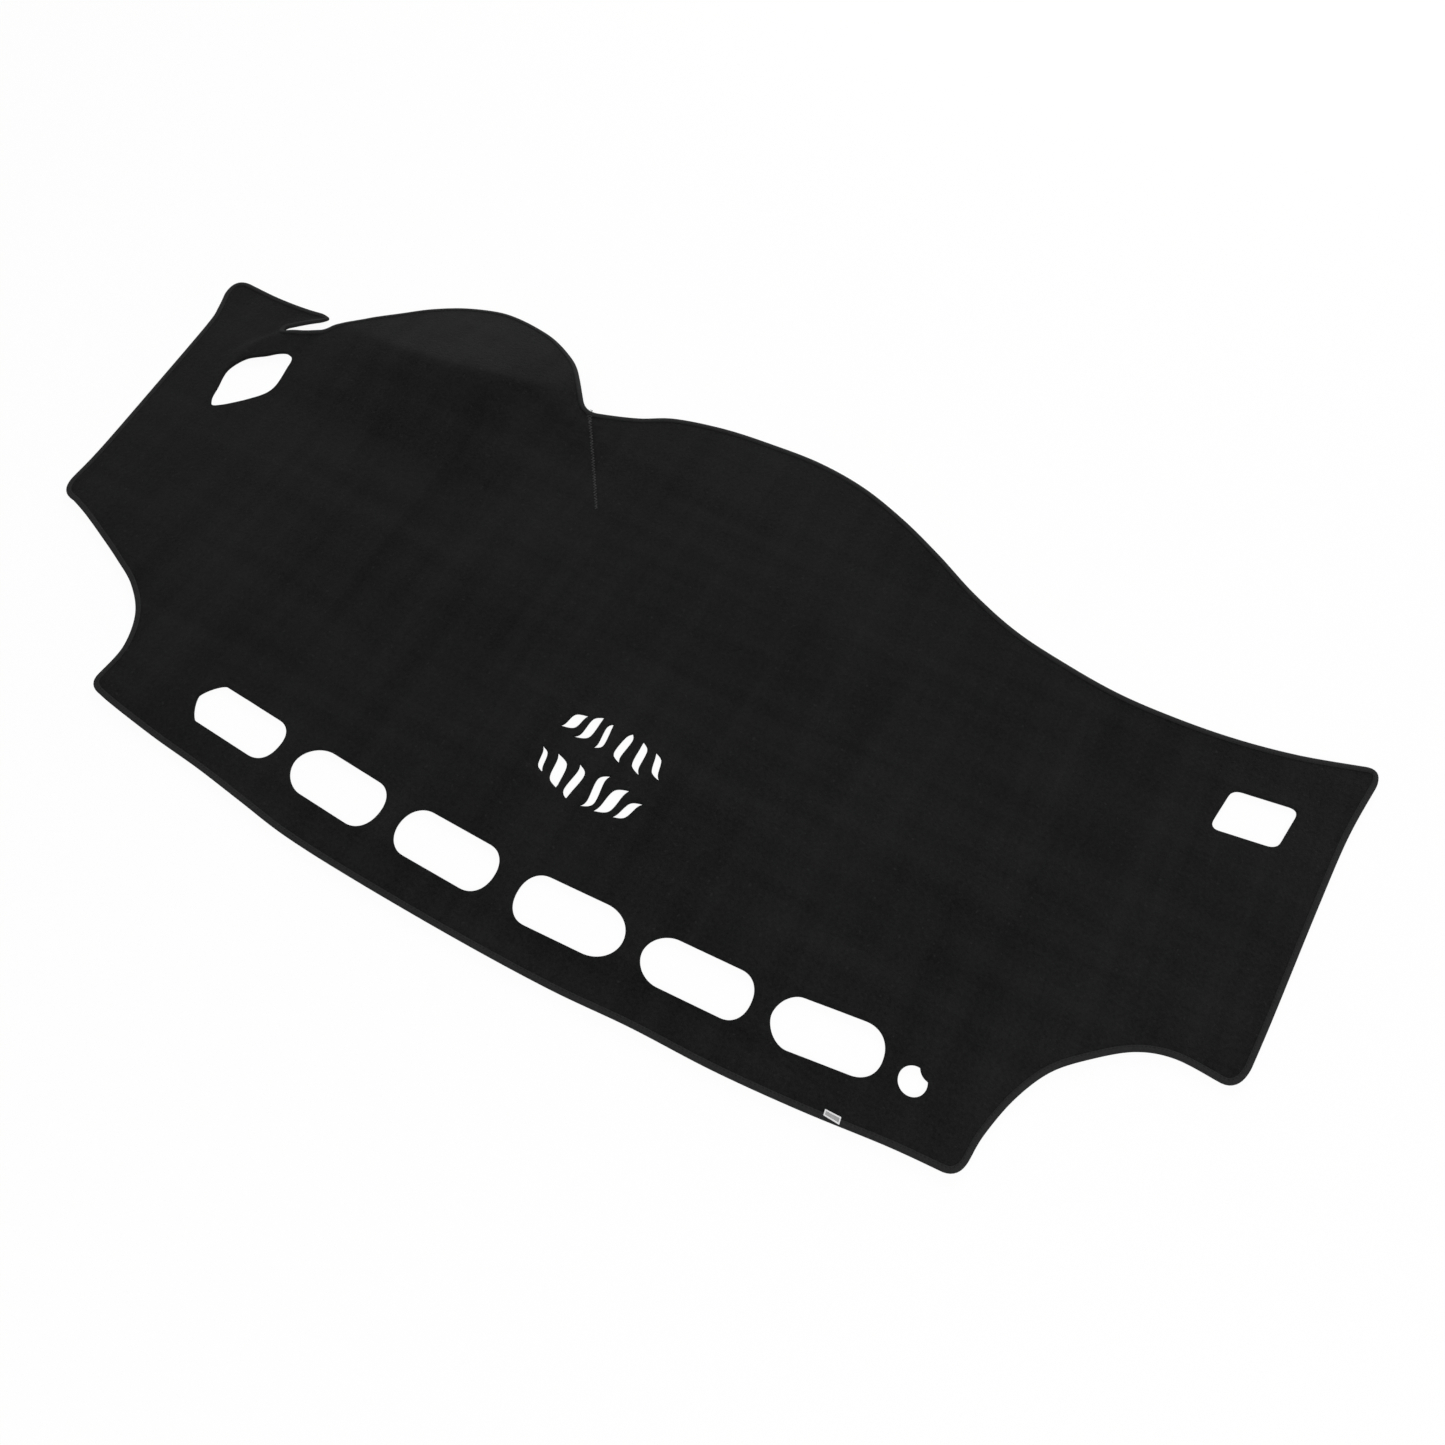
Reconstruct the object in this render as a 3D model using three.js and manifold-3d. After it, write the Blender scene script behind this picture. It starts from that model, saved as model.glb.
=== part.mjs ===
// Dashboard cover mat, laid out on the floor: one velour sheet with cut-outs, a bound edge and a sewn tag.
// Millimetres, +Z up. x runs along the windscreen, y from the windscreen edge towards the seats.

import * as THREE from 'three';
import { mergeVertices } from 'three/addons/utils/BufferGeometryUtils.js';
import Module from 'manifold-3d';

const wasm = await Module();
wasm.setup();

// Cloth and binding
const CLOTH_THICKNESS = 3;
const BINDING_WIDTH = 6;        // how far the binding reaches in over the cloth
const BINDING_TAPE = 0.5;       // thickness of the folded tape
const SEAT_GAP = 0.3;           // clearance between the cloth, the tape and the tag

// Outline of the bound mat, anticlockwise and stretch by stretch, as points that smooth curves pass through.
// Between two stretches lies a corner, given by the point where its two sides would meet.
const WINDSCREEN_EDGE = [
  [-466, -5], [-441, -9], [-381, -16], [-321, -21], [-262, -28], [-202, -35], [-122, -38],
  [-3, -38.5], [97, -36], [177, -30], [257, -27], [336, -20], [415, -10], [463, -6],
];
const RIGHT_WINDSCREEN_CORNER = [477.5, -4.5];
const RIGHT_PILLAR_CURVE = [
  [479.5, 13], [483, 37], [495, 75], [514, 110], [542, 138], [574, 162], [606, 172.5], [645, 172],
];
const RIGHT_PILLAR_CORNER = [661, 171.5];
const RIGHT_END = [[665, 196], [670, 247], [680, 366], [688, 446], [699.5, 510]];
const RIGHT_SEAT_CORNER = [702, 534];
const SEAT_EDGE = [
  [682, 526], [624, 508], [565, 496], [506, 490], [446, 489], [387, 496], [328, 508], [272, 530],
  [219, 558], [165, 583], [108, 602], [49, 610], [-11, 608], [-70, 602], [-128, 588], [-164, 569],
  [-209, 546],
];
const HOOD_NOTCH = [-222, 540];
const HOOD_EDGE = [
  [-231, 552], [-264, 591], [-289, 609], [-325, 625], [-364, 632], [-404, 631], [-441, 616],
  [-472, 592], [-501, 565], [-530, 539], [-559, 511],
];
const HOOD_CORNER = [-566, 499];
const SLIT_HOOD_SIDE = [[-574, 494.5], [-588, 488], [-604, 481], [-617, 475]];
const SLIT_END = [-628, 470];
const SLIT_FLAP_SIDE = [[-627, 486], [-617, 498], [-602, 510.5]];
const FLAP_TIP = [-578, 527];
const FLAP_EDGE = [[-601, 526], [-625, 522.5], [-665, 521], [-710, 523]];
const LEFT_SEAT_CORNER = [-735, 523];
const LEFT_END = [[-727.5, 494], [-719, 472], [-712, 444], [-700, 342], [-688.5, 235], [-686.5, 190]];
const LEFT_PILLAR_CORNER = [-686, 165];
const LEFT_PILLAR_CURVE = [
  [-664, 164], [-638, 156], [-601, 142], [-564, 127], [-528, 110], [-498, 84], [-481, 48], [-480.5, 12],
];
const LEFT_WINDSCREEN_CORNER = [-481.5, -2];
const OUTLINE_TURN = 12;        // most degrees between two neighbouring edges of the faceted outline
const OUTLINE_ERROR = 0.35;     // and how far an edge may lie off the curve

// Demister slots along the windscreen edge: long holes whose ends differ a little, as they were cut by hand.
// An end is drawn by its reach and its fullness: 2 is an ellipse, less is pointed, more is square.
const SLOTS = [
  { x: -320, y: 38.3, length: 108, width: 45, tilt: -3.2, left: [17, 1.35], right: [21, 2.4] },
  { x: -189.5, y: 29.3, length: 106.5, width: 50, tilt: -2.9, left: [28, 1.9], right: [22, 2.2] },
  { x: -58.6, y: 27, length: 109.5, width: 49, tilt: -0.5, left: [23, 2.1], right: [22, 2.2] },
  { x: 78.3, y: 28.5, length: 110.5, width: 50, tilt: 3.4, left: [22, 2.2], right: [29, 2] },
  { x: 207.2, y: 36, length: 108, width: 46.5, tilt: 3.4, left: [26, 1.9], right: [20, 2.2] },
  { x: 332.5, y: 46, length: 103, width: 48, tilt: 8, left: [22, 1.8], right: [24, 2.2] },
];
const SLOT_END_STEPS = 11;

// Light sensor hole beside the slots, with the nub of cloth that was left when it was cut
const SENSOR = { x: 413.3, y: 47.6, radius: 13, nubFrom: 25, nubTo: 84, nubDepth: 3.4 };
const SENSOR_STEPS = 20;

// Window over the display at the right end: a rounded, slightly slanted rectangle
const WINDOW = {
  x: 604.8, y: 422.2, length: 64, lengthAngle: 8.7, depth: 50.5, depthAngle: 79.7, corner: 10,
};
const CORNER_STEPS = 5;

// Leaf-shaped hole for the side vent at the left end, anticlockwise from its right side
const SIDE_VENT = [
  [-572, 403], [-576, 430], [-580, 446], [-590, 450], [-600, 446], [-611, 437], [-631, 421], [-640, 397],
  [-633, 370], [-628, 354], [-620.5, 346], [-611, 351], [-592, 370], [-575, 391],
];
const SIDE_VENT_STEPS = 42;

// Speaker grille: two rows of slits with pointed ends that fan out sideways, six above and six below.
// Each has its top and foot, the middle of its body a fifth of the way from either, and its width.
const GRILLE = [
  { top: [-14, 211], upper: -21.5, lower: -25.3, foot: [-34, 188.5], width: 10.8 },
  { top: [0.5, 217], upper: -4, lower: -6.2, foot: [-17, 184], width: 9 },
  { top: [12.8, 215], upper: 11.3, lower: 13, foot: [8, 183], width: 5.5 },
  { top: [35, 215], upper: 34.7, lower: 33, foot: [39, 181.5], width: 8 },
  { top: [49, 212.5], upper: 53.1, lower: 55, foot: [62.5, 179.7], width: 7.8 },
  { top: [66, 208.5], upper: 71, lower: 75.7, foot: [83.5, 183.7], width: 6.8 },
  { top: [-36.5, 161.5], upper: -31, lower: -27.5, foot: [-22, 137.5], width: 5.5 },
  { top: [-19, 162], upper: -10.7, lower: -7.2, foot: [-1.5, 130], width: 11.3 },
  { top: [6.5, 162], upper: 12.2, lower: 10.3, foot: [13.5, 124.5], width: 8 },
  { top: [39.8, 166], upper: 33.3, lower: 35.8, foot: [28, 124.5], width: 7.5 },
  { top: [63.7, 161.5], upper: 55.2, lower: 51.4, foot: [42.5, 126.5], width: 10.9 },
  { top: [82.8, 155.7], upper: 74.5, lower: 69.2, foot: [62, 130], width: 8.2 },
];
const SLIT_SIDE_STEPS = 7;

// Sewn dart that shapes the hood: a narrow cut from the notch into the cloth, closed by stitches
const DART = { from: [-222, 549], to: [-143, 435], mouth: 2.4, tip: 0.8 };

// Crest of the raised hood, from beside the vent, along the slit and across to the notch.
// Each station has its place, its rise, and how far the cloth takes to come down on its outer and inner side.
const CREST = [
  { x: -652, y: 405, rise: 0.5, outer: 10, inner: 60 },
  { x: -636, y: 440, rise: 4, outer: 11, inner: 90 },
  { x: -617, y: 468, rise: 6, outer: 12, inner: 120 },
  { x: -590, y: 491, rise: 9, outer: 16, inner: 140 },
  { x: -552, y: 512, rise: 14, outer: 30, inner: 155 },
  { x: -500, y: 508, rise: 23, outer: 85, inner: 170 },
  { x: -441, y: 504, rise: 34, outer: 120, inner: 180 },
  { x: -369, y: 508, rise: 40, outer: 130, inner: 185 },
  { x: -325, y: 518, rise: 38, outer: 118, inner: 170 },
  { x: -280, y: 536, rise: 28, outer: 85, inner: 140 },
  { x: -243, y: 560, rise: 14, outer: 40, inner: 95 },
];
const CREST_STEPS = 110;
const CREST_SOFTNESS = 7;       // radius over which the crest is rounded
const INNER_SIDE = -0.7;        // direction across the crest, -1 to 1, where the inner reach holds
const OUTER_SIDE = 0.1;         // and where the outer reach takes over

// The bound edge holds the cloth off the floor by the tape under it, and the cloth sags to the floor inside
const EDGE_LIFT = BINDING_TAPE + SEAT_GAP;
const SAG_FROM = 95;            // distance from the edge at which the cloth starts to come down
const SAG_TO = 125;

// Grid on which the cloth's surface is worked out: finer where it is curved
const GRID_X = { from: -760, fine: -700, finest: -560, coarse: -160, to: 730, fineStep: 10, step: 16.7 };
const GRID_Y = { from: -70, fine: 320, finest: 440, to: 660, step: 24, finestStep: 13.8 };
const COARSE_STEP = 60;

// The tape is laid in lengths that butt against each other. Each runs through its own part of the plan, a
// rectangle between two places along the mat and two across it, some of them joints that it shares.
const PLAN = { left: -760, right: 760, front: -60, back: 660 };
const JOINT_X = { flap: -640, side: -560, hood: -370, notch: -222, foot: -100, bulge: 270, end: 655 };
const JOINT_Y = { corners: 4, left: 178, right: 184 };
const TAPE_LENGTHS = [
  { name: 'windscreen_binding', x: [PLAN.left, PLAN.right], y: [PLAN.front, JOINT_Y.corners] },
  { name: 'left_pillar_binding', x: [PLAN.left, 0], y: [JOINT_Y.corners, JOINT_Y.left] },
  { name: 'right_pillar_binding', x: [0, PLAN.right], y: [JOINT_Y.corners, JOINT_Y.right] },
  { name: 'left_end_binding', x: [PLAN.left, JOINT_X.flap], y: [JOINT_Y.left, PLAN.back] },
  { name: 'side_slit_binding', x: [JOINT_X.flap, JOINT_X.side], y: [JOINT_Y.left, PLAN.back] },
  { name: 'hood_left_binding', x: [JOINT_X.side, JOINT_X.hood], y: [JOINT_Y.left, PLAN.back] },
  { name: 'hood_right_binding', x: [JOINT_X.hood, JOINT_X.notch], y: [JOINT_Y.left, PLAN.back] },
  { name: 'hood_foot_binding', x: [JOINT_X.notch, JOINT_X.foot], y: [JOINT_Y.left, PLAN.back] },
  { name: 'middle_seat_binding', x: [JOINT_X.foot, JOINT_X.bulge], y: [JOINT_Y.right, PLAN.back] },
  { name: 'right_seat_binding', x: [JOINT_X.bulge, JOINT_X.end], y: [JOINT_Y.right, PLAN.back] },
  { name: 'right_end_binding', x: [JOINT_X.end, PLAN.right], y: [JOINT_Y.right, PLAN.back] },
];

// Tag sewn over the bound windscreen edge: blank, light woven tape folded over the edge
const TAG = { x: 366, width: 17.5, reach: 9, thickness: 0.4 };

const MATERIALS = {
  velour: new THREE.MeshStandardMaterial({ color: 0x1b1b1c, roughness: 0.95, metalness: 0 }),
  binding: new THREE.MeshStandardMaterial({ color: 0x222224, roughness: 0.85, metalness: 0 }),
  tag: new THREE.MeshStandardMaterial({ color: 0xc9c9c9, roughness: 0.8, metalness: 0 }),
};

const vector = ([x, y]) => new THREE.Vector2(x, y);
const radians = THREE.MathUtils.degToRad;

// Drops points of a closed loop where it hardly turns, so that only bends carry many points.
function thinned(points) {
  const kept = [points[0]];
  let first = 0;
  for (let i = 1; i < points.length; i++) {
    const next = points[(i + 1) % points.length];
    const start = points[first];
    const chord = next.clone().sub(start);
    const off = points.slice(first + 1, i + 1).map((p) => Math.abs(chord.cross(p.clone().sub(start))));
    const turn = Math.abs(points[first + 1].clone().sub(start).angleTo(next.clone().sub(points[i])));
    if (Math.max(...off) > OUTLINE_ERROR * chord.length() || turn > radians(OUTLINE_TURN)) {
      kept.push(points[i]);
      first = i;
    }
  }
  return kept;
}

// The mat's outer edge: smooth stretches joined by rounded corners.
function outlineLoop() {
  const stretches = [
    [WINDSCREEN_EDGE, RIGHT_WINDSCREEN_CORNER],
    [RIGHT_PILLAR_CURVE, RIGHT_PILLAR_CORNER],
    [RIGHT_END, RIGHT_SEAT_CORNER],
    [SEAT_EDGE, HOOD_NOTCH],
    [HOOD_EDGE, HOOD_CORNER],
    [SLIT_HOOD_SIDE, SLIT_END],
    [SLIT_FLAP_SIDE, FLAP_TIP],
    [FLAP_EDGE, LEFT_SEAT_CORNER],
    [LEFT_END, LEFT_PILLAR_CORNER],
    [LEFT_PILLAR_CURVE, LEFT_WINDSCREEN_CORNER],
  ];
  const points = [];
  stretches.forEach(([stretch, corner], i) => {
    const start = vector(stretches[(i + 1) % stretches.length][0][0]);
    const end = vector(stretch[stretch.length - 1]);
    const side = new THREE.SplineCurve(stretch.map(vector));
    const bend = new THREE.QuadraticBezierCurve(end, vector(corner), start);
    points.push(...side.getSpacedPoints(stretch.length * 12).slice(0, -1));
    points.push(...bend.getPoints(24).slice(0, -1));
  });
  return thinned(points);
}

function distanceToLoop(x, y, loop) {
  let best = Infinity;
  loop.forEach((a, i) => {
    const b = loop[(i + 1) % loop.length];
    const ex = b.x - a.x;
    const ey = b.y - a.y;
    const t = THREE.MathUtils.clamp(((x - a.x) * ex + (y - a.y) * ey) / (ex * ex + ey * ey), 0, 1);
    best = Math.min(best, Math.hypot(x - a.x - t * ex, y - a.y - t * ey));
  });
  return best;
}

// An anticlockwise loop moved inwards by a distance, without the points that would cross a narrow tip.
function inset(loop, distance) {
  const moved = loop.map((point, i) => {
    const before = loop[(i + loop.length - 1) % loop.length];
    const after = loop[(i + 1) % loop.length];
    const a = point.clone().sub(before).normalize();
    const b = after.clone().sub(point).normalize();
    const along = a.add(b).normalize();
    const half = Math.max(along.dot(b), 0.7);
    return new THREE.Vector2(-along.y, along.x).multiplyScalar(distance / half).add(point);
  });
  return moved.filter((point) => distanceToLoop(point.x, point.y, loop) > distance * 0.97);
}

function slotLoop({ x, y, length, width, tilt, left, right }) {
  const points = [];
  for (const [side, [reach, fullness]] of [[1, right], [-1, left]]) {
    for (let i = 0; i <= SLOT_END_STEPS; i++) {
      const angle = Math.PI * (i / SLOT_END_STEPS - 0.5);
      const out = Math.cos(angle) ** (2 / fullness);
      const up = Math.sign(Math.sin(angle)) * Math.abs(Math.sin(angle)) ** (2 / fullness);
      points.push(new THREE.Vector2(side * (length / 2 - reach + reach * out), side * up * width / 2));
    }
  }
  const centre = new THREE.Vector2();
  return points.map((p) => p.rotateAround(centre, radians(tilt)).add(vector([x, y])));
}

function sensorLoop({ x, y, radius, nubFrom, nubTo, nubDepth }) {
  const points = [];
  for (let i = 0; i <= SENSOR_STEPS; i++) {
    const angle = radians(nubTo + (360 - nubTo + nubFrom) * i / SENSOR_STEPS);
    points.push(new THREE.Vector2(radius * Math.cos(angle), radius * Math.sin(angle)));
  }
  const middle = radians((nubFrom + nubTo) / 2);
  const inner = radius - nubDepth;
  points.push(new THREE.Vector2(inner * Math.cos(middle), inner * Math.sin(middle)));
  return points.map((p) => p.add(vector([x, y])));
}

function windowLoop({ x, y, length, lengthAngle, depth, depthAngle, corner }) {
  const along = new THREE.Vector2(1, 0).rotateAround(new THREE.Vector2(), radians(lengthAngle));
  const across = new THREE.Vector2(1, 0).rotateAround(new THREE.Vector2(), radians(depthAngle));
  const at = (a, b) => vector([x, y]).addScaledVector(along, a).addScaledVector(across, b);
  const points = [];
  for (const [i, j] of [[1, 1], [-1, 1], [-1, -1], [1, -1]]) {
    const a = i * length / 2;
    const b = j * depth / 2;
    const ends = [at(a, b - j * corner), at(a - i * corner, b)];
    if (i !== j) ends.reverse();
    points.push(...new THREE.QuadraticBezierCurve(ends[0], at(a, b), ends[1]).getPoints(CORNER_STEPS));
  }
  return points;
}

function sideVentLoop() {
  const curve = new THREE.CatmullRomCurve3(SIDE_VENT.map(([x, y]) => new THREE.Vector3(x, y, 0)), true);
  return curve.getSpacedPoints(SIDE_VENT_STEPS).slice(0, -1).map((p) => new THREE.Vector2(p.x, p.y));
}

// One slit of the grille: from its top down the left side of its body, and from its foot back up the right.
function slitLoop({ top, upper, lower, foot, width }) {
  const height = top[1] - foot[1];
  const sides = [-1, 1].map((side) => new THREE.SplineCurve([
    vector(top),
    vector([upper + side * width / 2, top[1] - height / 5]),
    vector([lower + side * width / 2, foot[1] + height / 5]),
    vector(foot),
  ]).getPoints(SLIT_SIDE_STEPS));
  return [...sides[0].slice(0, -1), ...sides[1].reverse().slice(0, -1)];
}

function dartLoop({ from, to, mouth, tip }) {
  const a = vector(from);
  const b = vector(to);
  const along = b.clone().sub(a).normalize();
  const side = new THREE.Vector2(-along.y, along.x);
  const at = (p, s) => p.clone().addScaledVector(side, s / 2);
  return [at(a, -mouth), at(b, -tip), at(b, tip), at(a, mouth)];
}

// Stations of the crest, closely spaced, with the direction in which it runs.
function crestStations() {
  const keys = ['rise', 'outer', 'inner'];
  const places = CREST.map((c) => new THREE.Vector3(c.x, c.y, 0));
  const line = new THREE.CatmullRomCurve3(places, false, 'centripetal');
  const stations = [];
  for (let i = 0; i <= CREST_STEPS; i++) {
    const t = i / CREST_STEPS;
    const place = line.getPoint(t);
    const way = line.getTangent(t);
    const low = Math.min(Math.floor(t * (CREST.length - 1)), CREST.length - 2);
    const share = t * (CREST.length - 1) - low;
    const station = { x: place.x, y: place.y, wayX: way.x, wayY: way.y };
    for (const key of keys) {
      station[key] = THREE.MathUtils.lerp(CREST[low][key], CREST[low + 1][key], share);
    }
    stations.push(station);
  }
  return stations;
}

const crest = crestStations();

// Height of the hood over the flat cloth: the highest of the tents that stand over the crest's stations.
function hoodHeight(x, y) {
  let height = 0;
  for (const s of crest) {
    const dx = x - s.x;
    const dy = y - s.y;
    const distance = Math.hypot(dx, dy);
    const across = distance > 0 ? (s.wayX * dy - s.wayY * dx) / distance : 0;
    const side = THREE.MathUtils.smoothstep(across, INNER_SIDE, OUTER_SIDE);
    const reach = THREE.MathUtils.lerp(s.inner, s.outer, side);
    const run = Math.hypot(distance, CREST_SOFTNESS) - CREST_SOFTNESS;
    const left = Math.max(0, 1 - run / reach);
    height = Math.max(height, s.rise * left ** (2 - side));
  }
  return height;
}

function gridLines(stops) {
  const lines = new Set();
  for (const { from, to, step } of stops) {
    const count = Math.max(1, Math.round((to - from) / step));
    for (let i = 0; i <= count; i++) lines.add(Number((from + (to - from) * i / count).toFixed(3)));
  }
  return [...lines].sort((a, b) => a - b);
}

const outline = outlineLoop();

const columns = gridLines([
  { from: GRID_X.from, to: GRID_X.fine, step: COARSE_STEP },
  { from: GRID_X.fine, to: GRID_X.finest, step: GRID_X.fineStep },
  { from: GRID_X.finest, to: GRID_X.coarse, step: GRID_X.step },
  { from: GRID_X.coarse, to: GRID_X.to, step: COARSE_STEP },
]);
const rows = gridLines([
  { from: GRID_Y.from, to: GRID_Y.fine, step: COARSE_STEP },
  { from: GRID_Y.fine, to: GRID_Y.finest, step: GRID_Y.step },
  { from: GRID_Y.finest, to: GRID_Y.to, step: GRID_Y.finestStep },
]);

// Height of the cloth's underside over the floor at each crossing of the grid.
const underside = rows.map((y) => columns.map((x) => {
  const sag = THREE.MathUtils.smoothstep(distanceToLoop(x, y, outline), SAG_FROM, SAG_TO);
  return EDGE_LIFT * (1 - sag) + hoodHeight(x, y);
}));

// A closed sheet that follows the cloth, from one height to another over its underside.
function layer(low, high) {
  const nx = columns.length;
  const ny = rows.length;
  const positions = [];
  for (const height of [low, high]) {
    rows.forEach((y, j) => columns.forEach((x, i) => positions.push(x, y, underside[j][i] + height)));
  }
  const top = nx * ny;
  const index = [];
  const quad = (a, b, c, d) => index.push(a, b, c, a, c, d);
  for (let j = 0; j < ny - 1; j++) {
    for (let i = 0; i < nx - 1; i++) {
      const a = j * nx + i;
      quad(top + a, top + a + 1, top + a + nx + 1, top + a + nx);
      index.push(a, a + nx + 1, a + 1, a, a + nx, a + nx + 1);
    }
  }
  for (let i = 0; i < nx - 1; i++) {
    const far = (ny - 1) * nx + i;
    quad(i, i + 1, top + i + 1, top + i);
    quad(far + 1, far, top + far, top + far + 1);
  }
  for (let j = 0; j < ny - 1; j++) {
    const near = j * nx;
    const far = near + nx - 1;
    quad(near + nx, near, top + near, top + near + nx);
    quad(far, far + nx, top + far + nx, top + far);
  }
  const geometry = new THREE.BufferGeometry();
  geometry.setAttribute('position', new THREE.Float32BufferAttribute(positions, 3));
  geometry.setIndex(index);
  return solid(geometry);
}

// A closed geometry as a solid that can be cut and joined.
function solid(geometry) {
  geometry.deleteAttribute('normal');
  geometry.deleteAttribute('uv');
  const merged = mergeVertices(geometry, 1e-4);
  return new wasm.Manifold(new wasm.Mesh({
    numProp: 3,
    vertProperties: Float32Array.from(merged.attributes.position.array),
    triVerts: Uint32Array.from(merged.index.array),
  }));
}

const PRISM_LOW = -20;
const PRISM_HIGH = 120;

// An upright prism over a loop, taller than the mat, for cutting it out.
function prism(loop) {
  const depth = PRISM_HIGH - PRISM_LOW;
  const geometry = new THREE.ExtrudeGeometry(new THREE.Shape(loop), { depth, bevelEnabled: false });
  geometry.translate(0, 0, PRISM_LOW);
  return solid(geometry);
}

function meshOf(body, name, material) {
  const { vertProperties, triVerts } = body.getMesh();
  const geometry = new THREE.BufferGeometry();
  geometry.setAttribute('position', new THREE.Float32BufferAttribute(vertProperties, 3));
  geometry.setIndex(Array.from(triVerts));
  geometry.computeVertexNormals();
  const mesh = new THREE.Mesh(geometry, material);
  mesh.name = name;
  return mesh;
}

// The velour sheet, cut to its outline, with all its holes and the dart
function velourSheet() {
  const loops = [
    ...SLOTS.map(slotLoop),
    sensorLoop(SENSOR),
    windowLoop(WINDOW),
    sideVentLoop(),
    ...GRILLE.map(slitLoop),
    dartLoop(DART),
  ];
  let body = layer(0, CLOTH_THICKNESS).intersect(prism(inset(outline, EDGE_LIFT)));
  for (const loop of loops) body = body.subtract(prism(loop));
  return meshOf(body, 'velour_sheet', MATERIALS.velour);
}

// Binding tape folded over the sheet's edge, all the way round, in lengths with half a gap left at each joint
function edgeBinding() {
  const folded = layer(-EDGE_LIFT, CLOTH_THICKNESS + EDGE_LIFT).intersect(prism(outline));
  const room = layer(-SEAT_GAP, CLOTH_THICKNESS + SEAT_GAP).intersect(prism(inset(outline, BINDING_TAPE)));
  const body = folded.subtract(room).subtract(prism(inset(outline, BINDING_WIDTH)));
  return TAPE_LENGTHS.map(({ name, x, y }) => {
    const [left, right] = [x[0] + SEAT_GAP / 2, x[1] - SEAT_GAP / 2];
    const [front, back] = [y[0] + SEAT_GAP / 2, y[1] - SEAT_GAP / 2];
    const share = prism([[left, front], [right, front], [right, back], [left, back]].map(vector));
    return meshOf(body.intersect(share), name, MATERIALS.binding);
  });
}

// Tag over the binding: a strip on top that turns down at the edge
function sewnTag() {
  const { x, width, reach, thickness } = TAG;
  const edge = outline.filter((p) => p.y < 0).sort((a, b) => a.x - b.x);
  const right = edge.find((p) => p.x >= x);
  const left = edge[edge.indexOf(right) - 1];
  const slope = right.clone().sub(left).angle();
  const onEdge = left.clone().lerp(right, (x - left.x) / (right.x - left.x));
  const low = SEAT_GAP;
  const high = EDGE_LIFT * 2 + CLOTH_THICKNESS + SEAT_GAP;
  const section = new THREE.Shape([
    [-SEAT_GAP - thickness, low], [-SEAT_GAP, low], [-SEAT_GAP, high], [reach, high],
    [reach, high + thickness], [-SEAT_GAP - thickness, high + thickness],
  ].map(vector));
  const geometry = new THREE.ExtrudeGeometry(section, { depth: width, bevelEnabled: false });
  geometry.translate(0, 0, -width / 2);
  geometry.rotateX(Math.PI / 2);
  geometry.rotateZ(Math.PI / 2);
  const mesh = new THREE.Mesh(geometry, MATERIALS.tag);
  mesh.name = 'sewn_tag';
  mesh.rotation.z = slope;
  mesh.position.set(onEdge.x, onEdge.y, 0);
  return mesh;
}

const mat = new THREE.Group();
mat.add(velourSheet(), ...edgeBinding(), sewnTag());

// The origin lies on the floor, under the middle of the mat
const box = new THREE.Box3().setFromObject(mat);
const middle = box.getCenter(new THREE.Vector3());
mat.position.set(-middle.x, -middle.y, -box.min.z);

export default mat;
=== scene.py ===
# Dashboard cover mat laid out on a white floor: one velour sheet with cut-outs, bound all round with
# folded tape, shaped over the instrument hood by a sewn dart, with a small blank tag on the edge.
import math

import bpy
import numpy as np
from mathutils.geometry import delaunay_2d_cdt
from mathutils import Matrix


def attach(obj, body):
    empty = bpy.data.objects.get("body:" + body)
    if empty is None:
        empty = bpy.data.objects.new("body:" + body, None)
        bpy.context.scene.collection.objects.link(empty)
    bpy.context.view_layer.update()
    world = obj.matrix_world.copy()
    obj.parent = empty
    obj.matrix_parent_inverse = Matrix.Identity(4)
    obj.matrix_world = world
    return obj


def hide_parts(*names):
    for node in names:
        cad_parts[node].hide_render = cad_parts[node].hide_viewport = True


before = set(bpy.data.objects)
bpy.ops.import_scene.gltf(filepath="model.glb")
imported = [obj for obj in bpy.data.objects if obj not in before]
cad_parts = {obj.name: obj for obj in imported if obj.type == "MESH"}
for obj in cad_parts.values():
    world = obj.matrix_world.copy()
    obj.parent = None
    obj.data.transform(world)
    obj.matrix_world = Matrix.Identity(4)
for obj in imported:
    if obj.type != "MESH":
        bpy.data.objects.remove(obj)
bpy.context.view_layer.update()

scene = bpy.context.scene
scene.view_settings.view_transform = "Standard"

# Camera
# It stands near the windscreen side, a little to the right, and looks down at the mat from about 0.9 m.
# Its focal length is about 25 mm on a sensor 36 mm wide.
camera_data = bpy.data.cameras.new("camera")
camera_data.sensor_width = 36.0
camera_data.lens = 24.913
camera = bpy.data.objects.new("camera", camera_data)
camera.location = (0.328481, -0.407657, 0.907361)
camera.rotation_euler = (math.radians(25.5), 0.0, math.radians(28.509))
scene.collection.objects.link(camera)
scene.camera = camera

# Velour sheet
# One sheet of foam-backed velour, 3 mm thick, cut by hand to its outline and holes. It lies on the floor
# and rises over the place of the instrument hood, where a dart is sewn into it.
MM = 0.001
PLAN_SHIFT = np.array([14.775, -297.116])   # puts the middle of the mat's box over the origin
CLOTH_THICKNESS = 3.0
EDGE_LIFT = 0.8                             # the tape under the edge holds it this far off the floor
SAG_FROM, SAG_TO = 95.0, 125.0              # how far in from the edge the cloth comes down to the floor

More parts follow.
